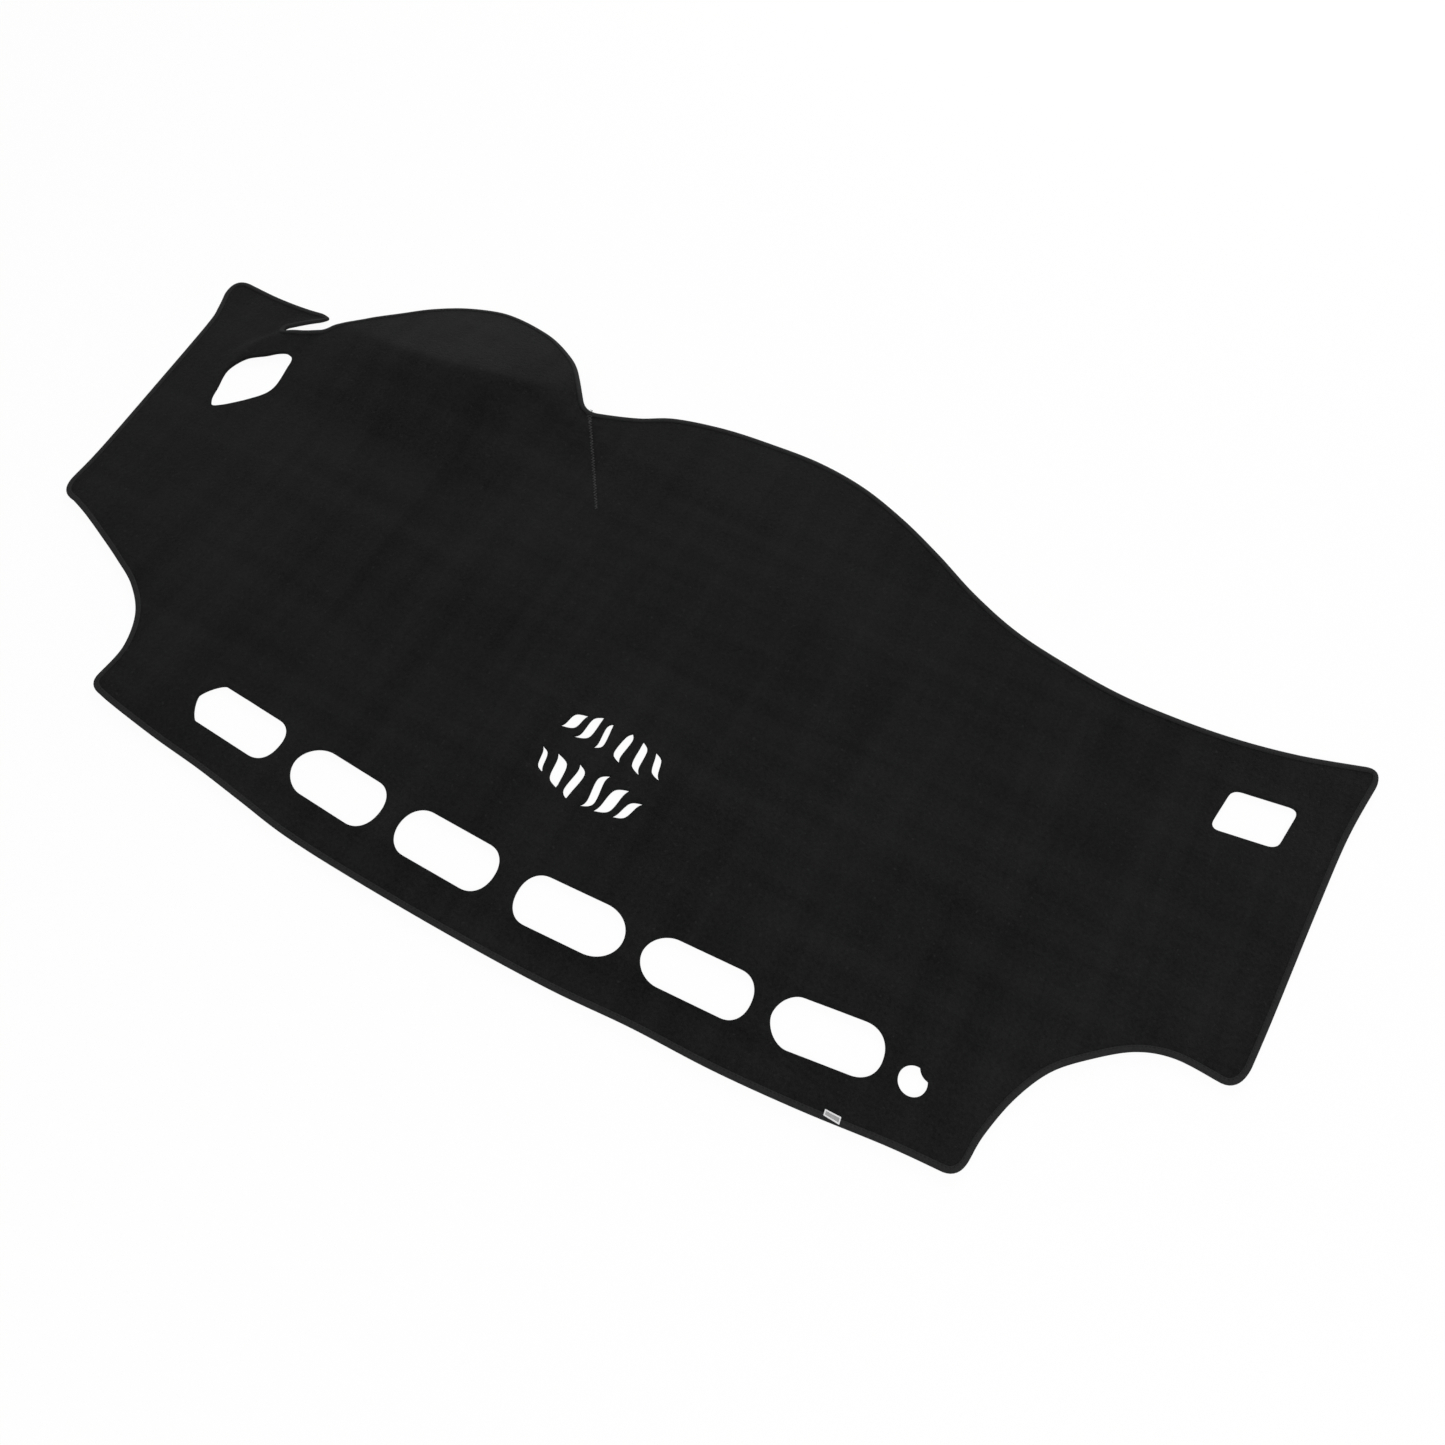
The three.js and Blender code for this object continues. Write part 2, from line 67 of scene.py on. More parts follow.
# Outline of the bound mat in plan millimetres: each stretch of points with the corner that follows it
OUTLINE = [
    ([(-466, -5), (-441, -9), (-381, -16), (-321, -21), (-262, -28), (-202, -35), (-122, -38),
      (-3, -38.5), (97, -36), (177, -30), (257, -27), (336, -20), (415, -10), (463, -6)], (477.5, -4.5)),
    ([(479.5, 13), (483, 37), (495, 75), (514, 110), (542, 138), (574, 162), (606, 172.5), (645, 172)],
     (661, 171.5)),
    ([(665, 196), (670, 247), (680, 366), (688, 446), (699.5, 510)], (702, 534)),
    ([(682, 526), (624, 508), (565, 496), (506, 490), (446, 489), (387, 496), (328, 508), (272, 530),
      (219, 558), (165, 583), (108, 602), (49, 610), (-11, 608), (-70, 602), (-128, 588), (-164, 569),
      (-209, 546)], (-222, 540)),
    ([(-231, 552), (-264, 591), (-289, 609), (-325, 625), (-364, 632), (-404, 631), (-441, 616),
      (-472, 592), (-501, 565), (-530, 539), (-561, 507.5)], (-566, 499)),
    ([(-571, 496), (-588, 488), (-604, 482), (-613, 478.5)], (-622, 475)),
    ([(-620, 485), (-609.5, 494.5), (-598, 504.5), (-588, 512.5)], (-576, 525)),
    ([(-597, 526), (-625, 522.5), (-665, 521), (-710, 523)], (-735, 523)),
    ([(-727.5, 494), (-719, 472), (-712, 444), (-700, 342), (-688.5, 235), (-686.5, 190)], (-686, 165)),
    ([(-664, 164), (-638, 156), (-601, 142), (-564, 127), (-528, 110), (-498, 84), (-481, 48),
      (-480.5, 12)], (-481.5, -2)),
]
# Demister slots: middle, length, width, tilt in degrees, then reach and fullness of the left and the
# right end, where a fullness of 2 is an ellipse
SLOTS = [
    (-320, 38.3, 108, 45, -3.2, (17, 1.35), (21, 2.4)),
    (-189.5, 29.3, 106.5, 50, -2.9, (28, 1.9), (22, 2.2)),
    (-58.6, 27, 109.5, 49, -0.5, (23, 2.1), (22, 2.2)),
    (78.3, 28.5, 110.5, 50, 3.4, (22, 2.2), (29, 2)),
    (207.2, 36, 108, 46.5, 3.4, (26, 1.9), (20, 2.2)),
    (332.5, 46, 103, 48, 8, (22, 1.8), (24, 2.2)),
]
# Light sensor hole: middle, radius, and the nub of cloth left in it, from one angle to another and how deep
SENSOR = (413.3, 47.6, 13, 25, 84, 3.4)
# Display window: middle, length and its angle, depth and its angle, and the reach of its round corners
WINDOW = (604.8, 422.2, 64, 8.7, 50.5, 79.7, 10)
# Leaf-shaped hole for the side vent
SIDE_VENT = [(-572, 403), (-576, 430), (-580, 446), (-590, 450), (-600, 446), (-611, 437), (-631, 421),
             (-640, 397), (-633, 370), (-628, 354), (-620.5, 346), (-611, 351), (-592, 370), (-575, 391)]
# Speaker grille: top, middle of the body near the top and near the foot, foot, width
GRILLE = [
    ((-14, 211), -21.5, -25.3, (-34, 188.5), 10.8), ((0.5, 217), -4, -6.2, (-17, 184), 9),
    ((12.8, 215), 11.3, 13, (8, 183), 5.5), ((35, 215), 34.7, 33, (39, 181.5), 8),
    ((49, 212.5), 53.1, 55, (62.5, 179.7), 7.8), ((66, 208.5), 71, 75.7, (83.5, 183.7), 6.8),
    ((-36.5, 161.5), -31, -27.5, (-22, 137.5), 5.5), ((-19, 162), -10.7, -7.2, (-1.5, 130), 11.3),
    ((6.5, 162), 12.2, 10.3, (13.5, 124.5), 8), ((39.8, 166), 33.3, 35.8, (28, 124.5), 7.5),
    ((63.7, 161.5), 55.2, 51.4, (42.5, 126.5), 10.9), ((82.8, 155.7), 74.5, 69.2, (62, 130), 8.2),
]
# Sewn dart, from the notch beside the hood to its tip in the cloth
DART_FROM, DART_TO = np.array([-222.0, 549.0]), np.array([-143.0, 435.0])
# Crest of the hood: place, rise, and how far the cloth takes to come down on its outer and inner side
CREST = np.array([
    (-652, 405, 0.5, 10, 60), (-636, 440, 4, 11, 90), (-617, 468, 6, 12, 120), (-590, 491, 9, 16, 140),
    (-552, 512, 14, 30, 155), (-500, 508, 23, 85, 170), (-441, 504, 34, 120, 180),
    (-369, 508, 40, 130, 185), (-325, 518, 38, 118, 170), (-280, 536, 28, 85, 140),
    (-243, 560, 14, 40, 95)], float)
# Creases left by packing: two ends in plan, how high the cloth stands there, and over what distance
CREASES = [
    ((-560, 150), (-556, 500), 0.9, 12), ((-322, 20), (-325, 470), 1.1, 13),
    ((8, -30), (12, 600), 1.2, 13), ((330, 0), (333, 480), 0.4, 12),
    ((70, 124), (530, 128), -0.9, 12), ((-470, 250), (60, 246), 0.35, 14),
    ((-634, 452), (-652, 350), 1.6, 9), ((-300, 122), (-60, 125), -0.4, 12),
]
CREASE_SWAY, CREASE_SWAY_LENGTH = 3.0, 47.0     # how far a crease strays from its line, and how slowly
RIPPLE_RISE = 0.075                             # rise of the longest of the cloth's slight waves
WAVES, LONGEST_WAVE = 26, 260


def spline(points, closed=False, power=0.0, steps=24):
    """Smooth curve through points: on each span a cubic whose end slopes come from the neighbouring
    points, with spans weighted by their length to the given power (0 uniform, 0.5 centripetal)."""
    p = np.array(points, float)
    if closed:
        p = np.vstack([p[-1:], p, p[:2]])
    elif power:
        p = np.vstack([2 * p[:1] - p[1:2], p, 2 * p[-1:] - p[-2:-1]])
    else:
        p = np.vstack([p[:1], p, p[-1:]])
    a, b, c, d = (p[i:len(p) - 3 + i, None, :] for i in range(4))
    if power:
        d0, d1, d2 = (np.linalg.norm(v - u, axis=2, keepdims=True) ** power
                      for u, v in ((a, b), (b, c), (c, d)))
        m0 = ((b - a) / d0 - (c - a) / (d0 + d1) + (c - b) / d1) * d1
        m1 = ((c - b) / d1 - (d - b) / (d1 + d2) + (d - c) / d2) * d1
    else:
        m0, m1 = (c - a) / 2, (d - b) / 2
    t = np.linspace(0, 1, steps, endpoint=False)[None, :, None]
    q = ((2 * t ** 3 - 3 * t ** 2 + 1) * b + (t ** 3 - 2 * t ** 2 + t) * m0
         + (3 * t ** 2 - 2 * t ** 3) * c + (t ** 3 - t ** 2) * m1).reshape(-1, p.shape[1])
    return q if closed else np.vstack([q, p[-2:-1]])


def even(loop, step):
    """Closed loop of points at equal distances of about step along its own length."""
    ring = np.vstack([loop, loop[:1]])
    run = np.r_[0, np.cumsum(np.linalg.norm(np.diff(ring, axis=0), axis=1))]
    at = np.linspace(0, run[-1], max(8, round(run[-1] / step)), endpoint=False)
    return np.column_stack([np.interp(at, run, ring[:, k]) for k in range(ring.shape[1])])


def outline_loop():
    """Stretches joined by corners: each corner is the parabola from one end over the corner to the next,
    (1-t)^2 x end + 2t(1-t) x corner + t^2 x next."""
    parts = []
    t = np.linspace(0, 1, 24, endpoint=False)[:, None]
    for k, (stretch, corner) in enumerate(OUTLINE):
        end, corner = np.array(stretch[-1]), np.array(corner)
        after = np.array(OUTLINE[(k + 1) % len(OUTLINE)][0][0], float)
        parts.append(spline(stretch)[:-1])
        parts.append((1 - t) ** 2 * end + 2 * t * (1 - t) * corner + t ** 2 * after)
    return np.vstack(parts)


def turned(points, degrees):
    """Points turned round the origin."""
    a = math.radians(degrees)
    return points @ np.array([[math.cos(a), math.sin(a)], [-math.sin(a), math.cos(a)]])


def slot_loop(x, y, length, width, tilt, left, right):
    """Long hole whose two ends are halves of superellipses with their own reach and fullness."""
    angle = np.pi * (np.linspace(0, 1, 40) - 0.5)
    parts = []
    for side, (reach, fullness) in ((1, right), (-1, left)):
        out = np.abs(np.cos(angle)) ** (2 / fullness)
        up = np.sign(np.sin(angle)) * np.abs(np.sin(angle)) ** (2 / fullness)
        parts.append(np.column_stack([side * (length / 2 - reach + reach * out), side * up * width / 2]))
    return turned(np.vstack(parts), tilt) + (x, y)


def sensor_loop(x, y, radius, nub_from, nub_to, nub_depth):
    """Circle from the end of the nub round to its start, then a parabola that bulges into the hole. Its
    pull point lies on the nub's middle line, so far out that the curve's middle is at radius - depth."""
    angle = np.radians(np.linspace(nub_to, 360 + nub_from, 70))
    round_part = radius * np.column_stack([np.cos(angle), np.sin(angle)])
    half = math.radians(nub_to - nub_from) / 2
    middle = math.radians(nub_from) + half
    pull = 2 * (radius - nub_depth) - radius * math.cos(half)
    tip = pull * np.array([math.cos(middle), math.sin(middle)])
    t = np.linspace(0, 1, 14)[1:-1, None]
    nub = (1 - t) ** 2 * round_part[-1] + 2 * t * (1 - t) * tip + t ** 2 * round_part[0]
    return np.vstack([round_part, nub]) + (x, y)


def window_loop(x, y, length, length_angle, depth, depth_angle, corner):
    """Parallelogram with parabolic corners."""
    a, b = math.radians(length_angle), math.radians(depth_angle)
    along, across = np.array([math.cos(a), math.sin(a)]), np.array([math.cos(b), math.sin(b)])
    t = np.linspace(0, 1, 8)[:, None]
    parts = []
    for i, j in ((1, 1), (-1, 1), (-1, -1), (1, -1)):
        tip = along * i * length / 2 + across * j * depth / 2
        ends = [tip - across * j * corner, tip - along * i * corner]
        if i != j:
            ends.reverse()
        parts.append((1 - t) ** 2 * ends[0] + 2 * t * (1 - t) * tip + t ** 2 * ends[1])
    return np.vstack(parts) + (x, y)


def grille_loop(top, upper, lower, foot, width):
    """Slit with pointed ends: one smooth side down, the other back up."""
    height = top[1] - foot[1]
    sides = [spline([top, (upper + s * width / 2, top[1] - height / 5),
                     (lower + s * width / 2, foot[1] + height / 5), foot]) for s in (-1, 1)]
    return np.vstack([sides[0][:-1], sides[1][::-1][:-1]])


def nearest(points, ring, chunk=4000):
    """Distance from each point to the closest point of a dense ring."""
    out = np.empty(len(points))
    for k in range(0, len(points), chunk):
        d = points[k:k + chunk, None, :] - ring[None, :, :]
        out[k:k + chunk] = np.sqrt((d ** 2).sum(axis=2).min(axis=1))
    return out


def covered(points, rings, chunk=6000):
    """True where a ray to the right crosses the rings an odd number of times: on the cloth, not in a
    hole."""
    a = np.vstack(rings)
    b = np.vstack([np.roll(r, -1, axis=0) for r in rings])
    out = np.empty(len(points), bool)
    for k in range(0, len(points), chunk):
        x, y = points[k:k + chunk, 0, None], points[k:k + chunk, 1, None]
        spans = (a[:, 1] > y) != (b[:, 1] > y)
        with np.errstate(divide="ignore", invalid="ignore"):
            at = a[:, 0] + (y - a[:, 1]) * (b[:, 0] - a[:, 0]) / (b[:, 1] - a[:, 1])
        out[k:k + chunk] = (spans & (x < at)).sum(axis=1) % 2 == 1
    return out


def smoothstep(x, low, high):
    """Goes from 0 at low to 1 at high with level ends."""
    t = np.clip((x - low) / (high - low), 0, 1)
    return t * t * (3 - 2 * t)


crest_line = spline(CREST[:, :2], power=0.5, steps=11)
crest_keys = np.column_stack([np.interp(np.linspace(0, len(CREST) - 1, len(crest_line)),
                                        np.arange(len(CREST)), CREST[:, k]) for k in (2, 3, 4)])
crest_way = np.gradient(crest_line, axis=0)
crest_way /= np.linalg.norm(crest_way, axis=1, keepdims=True)


def hood_height(points, soft=4.0, chunk=8000):
    """Highest of the tents over the crest's stations: rise x (1 - run/reach) to the power 2 - side,
    where side is 1 on the outer and 0 on the inner side, and run is the distance with its first
    millimetres rounded."""
    out = np.zeros(len(points))
    rise, outer, inner = crest_keys.T
    for k in range(0, len(points), chunk):
        d = points[k:k + chunk, None, :] - crest_line[None, :, :]
        far = np.hypot(d[..., 0], d[..., 1])
        across = (crest_way[:, 0] * d[..., 1] - crest_way[:, 1] * d[..., 0]) / np.maximum(far, 1e-6)
        side = smoothstep(across, -0.7, 0.1)
        reach = inner + (outer - inner) * side
        run = np.hypot(far, soft) - soft
        left = np.maximum(0, 1 - run / reach)
        out[k:k + chunk] = (rise * left ** (2 - side)).max(axis=1)
    return out


def crease_height(points):
    """Sum of soft ridges along lines that sway a little: rise x (1 - distance/reach) squared, faded out
    at both ends."""
    total = np.zeros(len(points))
    for start, end, rise, reach in CREASES:
        a, b = np.array(start, float), np.array(end, float)
        length = np.linalg.norm(b - a)
        along = (b - a) / length
        run = (points - a) @ along
        off = np.abs((points - a) @ np.array([-along[1], along[0]]))
        off = off + CREASE_SWAY * np.sin(run / CREASE_SWAY_LENGTH + start[0])
        fade = smoothstep(run, -20, 60) * smoothstep(length - run, -20, 60)
        total += rise * fade * np.maximum(0, 1 - np.hypot(off, 1.5) / reach) ** 2
    return total


waves = np.random.default_rng(7)
wave_length = waves.uniform(55, LONGEST_WAVE, WAVES)
wave_angle = np.where(waves.random(WAVES) < 0.7, waves.choice([0, np.pi / 2], WAVES),
                      waves.uniform(0, np.pi, WAVES)) + waves.normal(0, 0.12, WAVES)
wave_start = waves.uniform(0, 2 * np.pi, WAVES)


def ripple(points):
    """Slight waviness of cloth that has been folded: a sum of sines, most of them along or across the
    mat, and each as high as it is long."""
    ways = np.column_stack([np.cos(wave_angle), np.sin(wave_angle)])
    phase = points @ ways.T * (2 * np.pi / wave_length) + wave_start
    return (np.sin(phase) * wave_length / LONGEST_WAVE).sum(axis=1) * RIPPLE_RISE


outline = even(outline_loop(), 3.0)
outline_dense = even(outline, 1.5)


def underside(points):
    """Height of the cloth's lower face over the floor: held up at the edge, down inside, up over the hood,
    and never under the floor where a crease or a wave goes down."""
    edge = nearest(points, outline)
    sag = smoothstep(edge, SAG_FROM, SAG_TO)
    calm = smoothstep(edge, 0, 25)
    low = EDGE_LIFT * (1 - sag) + hood_height(points)
    return low + np.maximum(0, crease_height(points) + ripple(points) * calm + 0.12)


def sideways(loop):
    """Unit normals of a closed loop, to the left of the way it runs."""
    way = np.roll(loop, -1, axis=0) - np.roll(loop, 1, axis=0)
    way /= np.linalg.norm(way, axis=1, keepdims=True)
    return np.column_stack([-way[:, 1], way[:, 0]])


def anticlockwise(loop):
    """The loop, turned round if it runs clockwise."""
    x, y = loop.T
    return loop if (x * np.roll(y, -1) - y * np.roll(x, -1)).sum() > 0 else loop[::-1]


def room_inside(loop, most=6.0):
    """How far each point of the outline can move inwards before it comes nearer to another side: the
    distance is cut by an eighth until the moved point is about as far as that from the whole outline."""
    share = np.full(len(loop), most)
    left = sideways(loop)
    for _ in range(14):
        moved = loop + left * share[:, None]
        share = np.where(nearest(moved, outline_dense) < share * 0.93, share * 0.88, share)
    for _ in range(3):
        share = np.minimum(share, (np.roll(share, 1) + share + np.roll(share, -1)) / 3)
    return share


outline_room = room_inside(outline)


def inset(distance):
    """The outline moved inwards by a distance, or by less where two of its sides are close."""
    share = np.minimum(distance, outline_room * (0.4 + 0.1 * min(distance, 6.0)))
    return outline + sideways(outline) * share[:, None]


def mesh_object(name, verts, faces, material):
    """Smooth object at the origin from points in metres and lists of corner numbers."""
    mesh = bpy.data.meshes.new(name)
    mesh.from_pydata(verts.tolist(), [], faces)
    mesh.polygons.foreach_set("use_smooth", np.ones(len(mesh.polygons), bool))
    mesh.materials.append(material)
    mesh.update()
    obj = bpy.data.objects.new(name, mesh)
    scene.collection.objects.link(obj)
    return obj


def placed(points, z):
    """Plan points and heights in millimetres as places in the frame, in metres."""
    return np.column_stack([points + PLAN_SHIFT, z]) * MM


def rim_walls(sides, count):
    """Four-sided walls between a sheet's top and its copy below, whose corner numbers are higher by count:
    one for each side that no other face runs along the other way."""
    there, back = sides[:, 0] * count + sides[:, 1], sides[:, 1] * count + sides[:, 0]
    rim = sides[~np.isin(there, back)]
    return np.column_stack([rim[:, 1], rim[:, 0], rim[:, 0] + count, rim[:, 1] + count])


EDGE_RINGS = [(0.0, 1.0), (0.5, 0.42), (1.2, 0.12), (2.4, 0.0)]     # distance from a hole, drop there
HOLE_STEP, FINE_STEP, MESH_STEP = 2.2, 1.0, 5.0
CLEARANCE = 3.2                                                     # from the mesh's rows to its rings
CLOTH_INSET = 0.8                                                   # the cloth's cut edge, in the tape

holes = [even(slot_loop(*s), HOLE_STEP) for s in SLOTS] + [even(sensor_loop(*SENSOR), FINE_STEP)]
holes += [even(h, HOLE_STEP) for h in [window_loop(*WINDOW), spline(SIDE_VENT, closed=True, power=0.5)]]
holes = [anticlockwise(h) for h in holes + [even(grille_loop(*g), HOLE_STEP) for g in GRILLE]]

dart_way = (DART_TO - DART_FROM) / np.linalg.norm(DART_TO - DART_FROM)
dart_side = np.array([-dart_way[1], dart_way[0]])


DART_END = 148.0                                        # how far the fine rows along the dart run
DART_ROWS = (-6.5, -4, -2.2, -1, 0, 1, 2.2, 4, 6.5)


def dart_depth(points):
    """Furrow along the dart's seam: a V 0.9 mm deep and 4.4 mm wide in a round dip of 0.7 mm, which starts
    at the notch and fades towards the dart's tip."""
    run = (points - DART_FROM) @ dart_way
    off = np.abs((points - DART_FROM) @ dart_side)
    fade = smoothstep(run, -5, 8) * (1 - smoothstep(run, 95, 145))
    return fade * (0.9 * np.maximum(0, 1 - off / 2.2) + 0.7 * np.exp(-(off / 9) ** 2))


def velour_mesh():
    """Triangles over the plan between the outline and the holes, lifted to the cloth's two faces."""
    edge = inset(CLOTH_INSET)
    rings, drops, edges = [edge], [np.zeros(len(edge))], []
    for hole in holes:
        out = -sideways(hole)
        for distance, drop in EDGE_RINGS:
            rings.append(hole + out * distance)
            drops.append(np.full(len(hole), drop))
    start = 0
    for ring in rings:
        k = np.arange(len(ring))
        edges.append(np.column_stack([start + k, start + (k + 1) % len(ring)]))
        start += len(ring)
    cuts = [edge] + holes
    xs, ys = np.arange(-740, 710, MESH_STEP), np.arange(-40, 640, MESH_STEP * 0.866)
    gx, gy = np.meshgrid(xs, ys)
    gx = gx + MESH_STEP / 2 * (np.arange(len(ys)) % 2)[:, None]
    grid = np.column_stack([gx.ravel(), gy.ravel()])
    grid = grid[covered(grid, [r[::2] for r in cuts])]
    grid = grid[nearest(grid, np.vstack(rings)) > CLEARANCE]
    seam = (grid - DART_FROM) @ dart_side
    along = (grid - DART_FROM) @ dart_way
    grid = grid[(np.abs(seam) > DART_ROWS[-1] + 1.5) | (along < -4) | (along > DART_END + 2)]
    run = np.arange(1, DART_END, HOLE_STEP)
    near = np.vstack([DART_FROM + dart_way * run[:, None] + dart_side * s for s in DART_ROWS])
    near = near[covered(near, cuts) & (nearest(near, edge) > 1.5)]
    points = np.vstack(rings + [grid, near])
    drop = np.concatenate(drops + [np.zeros(len(grid) + len(near))])
    flat, _, faces, *_ = delaunay_2d_cdt([tuple(p) for p in points.tolist()],
                                         np.vstack(edges).tolist(), [], 0, 1e-5, False)
    flat = np.array([tuple(p) for p in flat])
    drop = np.concatenate([drop, np.zeros(len(flat) - len(points))])
    tri = np.array([f for f in faces if len(f) == 3])
    tri = tri[covered(flat[tri].mean(axis=1), cuts)]
    a, b, c = (flat[tri[:, k]] for k in range(3))
    area = (b[:, 0] - a[:, 0]) * (c[:, 1] - a[:, 1]) - (b[:, 1] - a[:, 1]) * (c[:, 0] - a[:, 0])
    tri = np.where((area > 0)[:, None], tri, tri[:, ::-1])
    used, tri = np.unique(tri, return_inverse=True)
    tri = tri.reshape(-1, 3)
    flat, drop = flat[used], drop[used]
    low = underside(flat)
    top = low + CLOTH_THICKNESS - drop - dart_depth(flat)
    n = len(flat)
    walls = rim_walls(np.vstack([tri[:, [0, 1]], tri[:, [1, 2]], tri[:, [2, 0]]]), n)
    walls = np.vstack([walls[:, [0, 1, 2]], walls[:, [0, 2, 3]]])
    verts = np.vstack([placed(flat, top), placed(flat, low)])
    return verts, np.vstack([tri, tri[:, ::-1] + n, walls]).tolist()


def node(tree, kind, **values):
    """One shader node with its settings and the values of its inputs."""
    made = tree.nodes.new(kind)
    for key, value in values.items():
        if key in made.inputs:
            made.inputs[key].default_value = value
        else:
            setattr(made, key, value)
    return made


def cloth_pattern():
    """Node group for napped cloth: puts out a tone around 0.5 and a height for bump, from a place in
    metres. The tone is the sum of large patches, streaks both ways, nap and sparse specks of lint."""
    group = bpy.data.node_groups.new("nap", "ShaderNodeTree")
    face = group.interface
    face.new_socket("Place", in_out="INPUT", socket_type="NodeSocketVector")
    for name, value in (("Patches", 0.3), ("Streaks", 0.2), ("Nap", 0.4), ("Specks", 0.3)):
        face.new_socket(name, in_out="INPUT", socket_type="NodeSocketFloat").default_value = value
    face.new_socket("Tone", in_out="OUTPUT", socket_type="NodeSocketFloat")
    face.new_socket("Height", in_out="OUTPUT", socket_type="NodeSocketFloat")
    given, put = node(group, "NodeGroupInput"), node(group, "NodeGroupOutput")
    link = group.links.new

    def noise(scale, detail, stretch=(1, 1, 1), rough=0.55):
        """Noise around 0.5 at a scale per metre, stretched along an axis."""
        mapping = node(group, "ShaderNodeMapping", Scale=stretch)
        made = node(group, "ShaderNodeTexNoise", Scale=scale, Detail=detail, Roughness=rough)
        link(given.outputs["Place"], mapping.inputs["Vector"])
        link(mapping.outputs["Vector"], made.inputs["Vector"])
        return made.outputs["Fac"]

    def math_of(kind, a, b, clamp=False):
        """Result of one sum on two sockets or numbers."""
        made = node(group, "ShaderNodeMath", operation=kind, use_clamp=clamp)
        for k, value in enumerate((a, b)):
            if isinstance(value, (int, float)):
                made.inputs[k].default_value = value
            else:
                link(value, made.inputs[k])
        return made.outputs[0]

    def mean_of(first, second):
        """Mean of two noises, moved to lie around 0."""
        return math_of("SUBTRACT", math_of("MULTIPLY", math_of("ADD", first, second), 0.5), 0.5)

    patches = math_of("SUBTRACT", noise(5.0, 3.0), 0.5)
    streaks = mean_of(noise(42.0, 2.0, (1, 0.07, 1)), noise(42.0, 2.0, (0.07, 1, 1)))
    nap = mean_of(noise(260.0, 3.0), noise(620.0, 2.0))
    peaks = math_of("SUBTRACT", noise(230.0, 1.0, (1, 1, 1), 0.4), 0.715, clamp=True)
    lint = math_of("MULTIPLY", peaks, 9.0, clamp=True)
    tone = 0.5
    for amount, part in (("Patches", patches), ("Streaks", streaks), ("Nap", nap), ("Specks", lint)):
        tone = math_of("ADD", math_of("MULTIPLY", given.outputs[amount], part), tone)
    tufts = math_of("MULTIPLY", noise(330.0, 3.0), 1.6)
    fibres = math_of("ADD", noise(1500.0, 2.0, (1, 0.6, 1)), tufts)
    link(tone, put.inputs["Tone"])
    link(fibres, put.inputs["Height"])
    return group


NAP = cloth_pattern()


def cloth_material(name, dark, light, rough, sheen, bump, patches, streaks, nap, specks):
    """Fabric whose colour runs from dark to light with the group's tone, with sheen on the shader itself.
    The last four numbers say how strongly each of the group's patterns shows."""
    material = bpy.data.materials.new(name)
    material.use_nodes = True
    tree = material.node_tree
    shader = tree.nodes["Principled BSDF"]
    shader.inputs["Roughness"].default_value = rough
    shader.inputs["Specular IOR Level"].default_value = 0.12
    shader.inputs["Sheen Weight"].default_value = sheen
    shader.inputs["Sheen Roughness"].default_value = 0.45
    place = node(tree, "ShaderNodeTexCoord")
    pattern = node(tree, "ShaderNodeGroup", node_tree=NAP)
    for key, value in (("Patches", patches), ("Streaks", streaks), ("Nap", nap), ("Specks", specks)):
        pattern.inputs[key].default_value = value
    ramp = node(tree, "ShaderNodeMix", data_type="RGBA", clamp_factor=True)
    ramp.inputs["A"].default_value = (*dark, 1)
    ramp.inputs["B"].default_value = (*light, 1)
    bumps = node(tree, "ShaderNodeBump", Strength=bump, Distance=0.0006)
    link = tree.links.new
    link(place.outputs["Object"], pattern.inputs["Place"])
    link(pattern.outputs["Tone"], ramp.inputs["Factor"])
    link(ramp.outputs["Result"], shader.inputs["Base Color"])
    link(pattern.outputs["Height"], bumps.inputs["Height"])
    link(bumps.outputs["Normal"], shader.inputs["Normal"])
    return material


velour_look = cloth_material("velour", dark=(0.0008, 0.0008, 0.0009), light=(0.0134, 0.0134, 0.0140),
                             rough=1.0, sheen=0.008, bump=0.8, patches=0.5, streaks=1.1, nap=1.5,
                             specks=0.9)
velour = mesh_object("velour_cloth", *velour_mesh(), velour_look)
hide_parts("velour_sheet")
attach(velour, "root")

# Edge binding
# Woven tape, 6 mm wide on each face, folded over the cut edge all the way round and sewn through near its
# inner edge with one line of machine stitches. No thread runs where the tag lies.
# Section of the tape: distance in from the outline and height over the cloth's lower face
TAPE_SECTION = [(6.0, 3.12), (5.6, 3.62), (4.6, 3.98), (3.0, 4.12), (1.5, 4.0), (0.5, 3.5), (0.0, 2.6),
                (0.0, 0.9), (0.25, -0.1), (0.9, -0.66), (2.5, -0.8), (6.0, -0.8), (6.0, -0.35),
                (1.2, -0.3), (0.55, 0.2), (0.55, 2.9), (1.3, 3.25), (5.6, 3.05)]


def carried(section):
    """The section carried round the outline, closed both ways: one row of points for each of its
    corners."""
    rows = []
    for inwards, height in section:
        ring = inset(inwards) if inwards else outline
        rows.append(placed(ring, underside(ring) + height))
    count = len(outline)
    verts = np.vstack(rows)
    r, k = np.meshgrid(np.arange(len(rows)), np.arange(count), indexing="ij")
    a, b = r * count + k, r * count + (k + 1) % count
    up = ((r + 1) % len(rows)) * count
    faces = np.stack([a, up + k, up + (k + 1) % count, b], axis=-1).reshape(-1, 4)
    return verts, faces.tolist()


